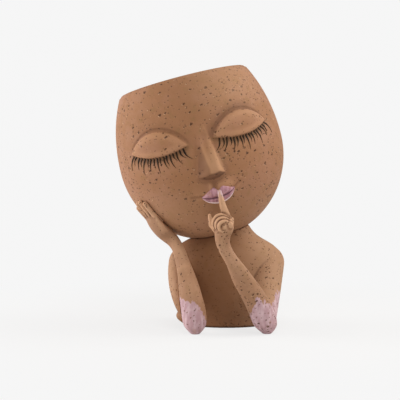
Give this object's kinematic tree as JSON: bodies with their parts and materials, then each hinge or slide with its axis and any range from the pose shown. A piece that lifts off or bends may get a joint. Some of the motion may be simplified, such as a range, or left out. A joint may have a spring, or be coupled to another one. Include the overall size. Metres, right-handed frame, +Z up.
{
  "type": "head planter",
  "caption": "Small leaning head planter with closed eyes, resting on two hands over a bust, with a planting bowl, a drain and a base plug.",
  "frame": {"origin": "centre of the bust's resting face, on the ground plane", "axes": "+Z up, the face looks to -Y, +X to the viewer's right"},
  "size_m": [0.1245, 0.1302, 0.1908],
  "materials": {
    "body_resin": "matt terracotta-brown cast resin with small dark pits and brushed pink patches on both elbows",
    "base_resin": "plain matt cast resin, darker than the body",
    "lip_paint": "satin mauve-pink paint over resin",
    "lash_paint": "dark brown brushed paint, slightly raised",
    "plug_rubber": "soft matt black rubber"
  },
  "bodies": {
    "figure": {"head_pot": "body_resin", "torso": "body_resin", "cheek_forearm": "body_resin", "hush_forearm": "body_resin", "base_plate": "base_resin", "lips": "lip_paint", "left_lashes": "lash_paint", "right_lashes": "lash_paint"},
    "plug": {"drain_plug": "plug_rubber"}
  },
  "joints": [
    {"name": "plug_pull", "type": "slide", "parent": "figure", "child": "plug", "axis": [0, 0, -1], "range_m": [0, 0.02]}
  ]
}
